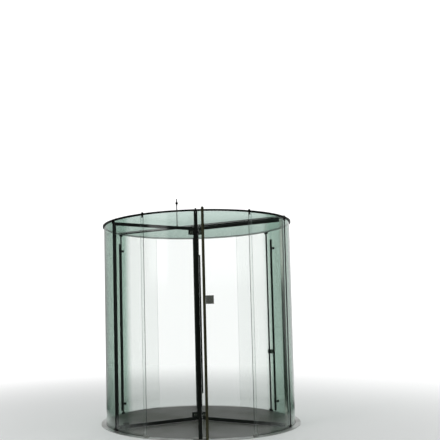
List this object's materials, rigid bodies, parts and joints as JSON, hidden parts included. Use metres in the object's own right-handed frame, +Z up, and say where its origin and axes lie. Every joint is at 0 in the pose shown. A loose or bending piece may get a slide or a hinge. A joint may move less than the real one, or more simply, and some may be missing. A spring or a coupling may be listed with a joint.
{
  "type": "all-glass revolving door with curved night leaves",
  "caption": "Revolving door with curved glass walls, glass wings on a centre shaft, a glass ceiling and sliding curved night leaves.",
  "frame": {"origin": "on the turning axis of the wings, at floor level", "axes": "+Z up along the turning axis; +Y through the door, away from the side with the night leaves; +X to the right seen from that side"},
  "size_m": [3.1598, 3.1598, 3.648],
  "materials": {
    "wall_glass": "clear bent float glass with a green tint",
    "ceiling_glass": "clear laminated glass with a green tint",
    "wing_glass": "clear toughened glass with a green tint",
    "leaf_glass": "clear bent toughened glass with a green tint",
    "black_steel": "black coating, satin to semi-gloss",
    "hub_steel": "black frame with satin grey-green faces",
    "polished_steel": "polished stainless steel with a warm cast",
    "post_steel": "dark polished steel with an olive bronze cast",
    "stainless": "brushed stainless steel",
    "floor_mat": "dark grey ribbed matting, slightly shiny",
    "brush": "black nylon bristles",
    "grey_case": "satin dark grey case"
  },
  "bodies": {
    "drum": {"floor_ring": "stainless", "floor_mat": "floor_mat", "floor_pivot": "stainless", "left_wall_front": "wall_glass", "left_wall_middle": "wall_glass", "left_wall_back": "wall_glass", "right_wall_front": "wall_glass", "right_wall_middle": "wall_glass", "right_wall_back": "wall_glass", "front_left_joint": "black_steel", "back_left_joint": "black_steel", "front_right_joint": "black_steel", "back_right_joint": "black_steel", "top_ring": "black_steel", "ceiling_front": "ceiling_glass", "ceiling_back": "ceiling_glass", "ceiling_joint_bar": "black_steel", "top_bearing": "stainless", "hanger_rod": "black_steel", "control_box": "grey_case"},
    "rotor": {"centre_shaft": "black_steel", "top_hub": "hub_steel", "bottom_hub": "hub_steel", "left_wing_glass": "wing_glass", "right_wing_glass": "wing_glass", "back_wing_glass": "wing_glass", "left_wing_top_rail": "black_steel", "right_wing_top_rail": "black_steel", "back_wing_top_rail": "black_steel", "left_wing_bottom_rail": "black_steel", "right_wing_bottom_rail": "black_steel", "back_wing_bottom_rail": "black_steel", "left_wing_stile": "black_steel", "right_wing_stile": "polished_steel", "back_wing_stile": "black_steel", "left_wing_brushes": "brush", "right_wing_brushes": "brush", "back_wing_brushes": "brush", "left_push_bar": "black_steel", "right_push_bar": "black_steel", "back_push_bar": "black_steel", "floor_bolt": "grey_case"},
    "left_leaf": {"left_leaf_glass": "leaf_glass", "left_leaf_stile": "black_steel", "left_leaf_hangers": "black_steel", "left_leaf_shoes": "stainless"},
    "right_leaf": {"right_leaf_glass": "leaf_glass", "right_leaf_post": "post_steel", "right_leaf_lock": "grey_case", "right_leaf_hanger": "black_steel", "right_leaf_shoes": "stainless"}
  },
  "joints": [
    {"name": "rotor_turn", "type": "hinge", "parent": "drum", "child": "rotor", "pos_m": [0, 0, 0], "axis": [0, 0, 1], "continuous": true},
    {"name": "left_leaf_slide", "type": "hinge", "parent": "drum", "child": "left_leaf", "pos_m": [0, 0, 0], "axis": [0, 0, -1], "range_deg": [0, 27]},
    {"name": "right_leaf_slide", "type": "hinge", "parent": "drum", "child": "right_leaf", "pos_m": [0, 0, 0], "axis": [0, 0, 1], "range_deg": [0, 27]}
  ]
}
